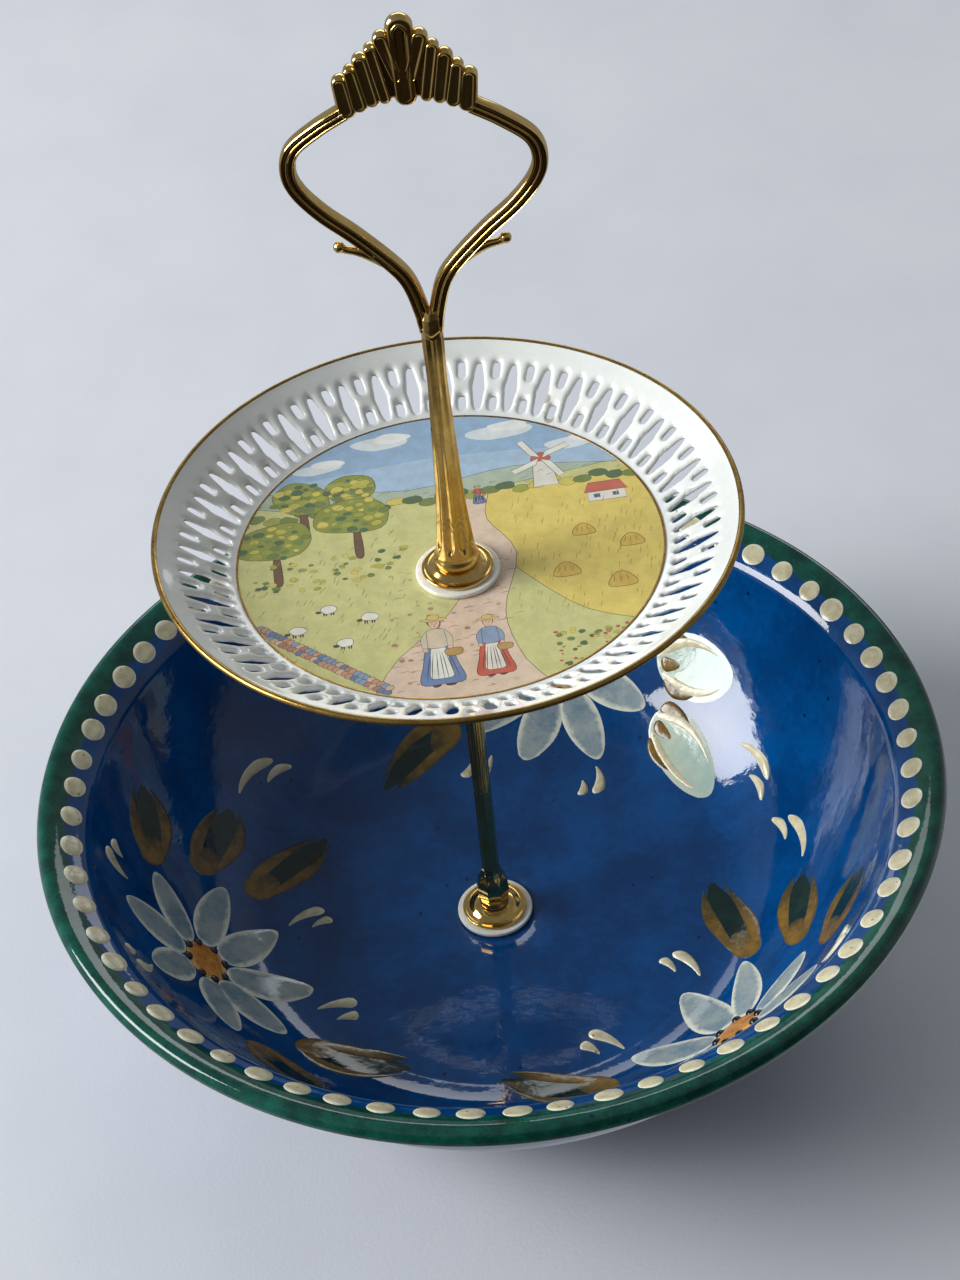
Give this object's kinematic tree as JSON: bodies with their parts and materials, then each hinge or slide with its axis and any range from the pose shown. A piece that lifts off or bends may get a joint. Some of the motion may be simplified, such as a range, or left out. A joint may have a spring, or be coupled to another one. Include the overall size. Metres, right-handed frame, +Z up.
{
  "type": "tiered cake stand",
  "caption": "Cake stand with a deep glazed bowl below, a small pierced plate above, and a gold screwed centre rod with a crown-shaped loop handle.",
  "frame": {"origin": "centre of the bowl's foot, on the table", "axes": "+Z up along the centre rod; the crown handle's plane is turned 8 degrees from X, its flat side towards -Y"},
  "size_m": [0.3, 0.3, 0.3664],
  "materials": {
    "blue_glaze": "deep blue gloss glaze with a dark green rim and cream, ochre and green brush decoration",
    "porcelain": "white gloss porcelain with a gold rim line and a printed country scene",
    "gold": "polished gold plating, a little tarnished",
    "steel": "zinc-plated steel threads",
    "nylon": "white nylon washers"
  },
  "bodies": {
    "base": {"bowl": "blue_glaze", "base_screw": "steel", "base_flat_washer": "steel", "bowl_bottom_pad": "nylon", "bowl_top_pad": "nylon", "bowl_dished_disc": "gold"},
    "lower_lift": {"plate_stud": "steel"},
    "lower_rod": {"lower_column": "gold", "plate_support_disc": "gold"},
    "top_plate": {"plate_bottom_pad": "nylon", "plate": "porcelain", "plate_top_pad": "nylon", "plate_dished_disc": "gold"},
    "upper_lift": {"handle_stud": "steel"},
    "handle": {"upper_column": "gold", "crown_handle": "gold"}
  },
  "joints": [
    {"name": "column_rise", "type": "slide", "parent": "base", "child": "lower_lift", "axis": [0, 0, 1], "range_m": [0, 0.008]},
    {"name": "column_turn", "type": "hinge", "parent": "lower_lift", "child": "lower_rod", "pos_m": [-0.0025, 0, 0.02], "axis": [0, 0, 1], "range_deg": [0, 3600]},
    {"name": "plate_turn", "type": "hinge", "parent": "lower_rod", "child": "top_plate", "pos_m": [-0.0025, 0, 0.1754], "axis": [0, 0, 1], "continuous": true},
    {"name": "handle_rise", "type": "slide", "parent": "lower_rod", "child": "upper_lift", "axis": [0, 0, 1], "range_m": [0, 0.0084]},
    {"name": "handle_turn", "type": "hinge", "parent": "upper_lift", "child": "handle", "pos_m": [-0.0025, 0, 0.2], "axis": [0, 0, 1], "range_deg": [0, 4320]}
  ],
  "couplings": [
    {"joint": "column_turn", "follows": "column_rise", "rad_per_m": 7854},
    {"joint": "handle_turn", "follows": "handle_rise", "rad_per_m": 8976}
  ]
}
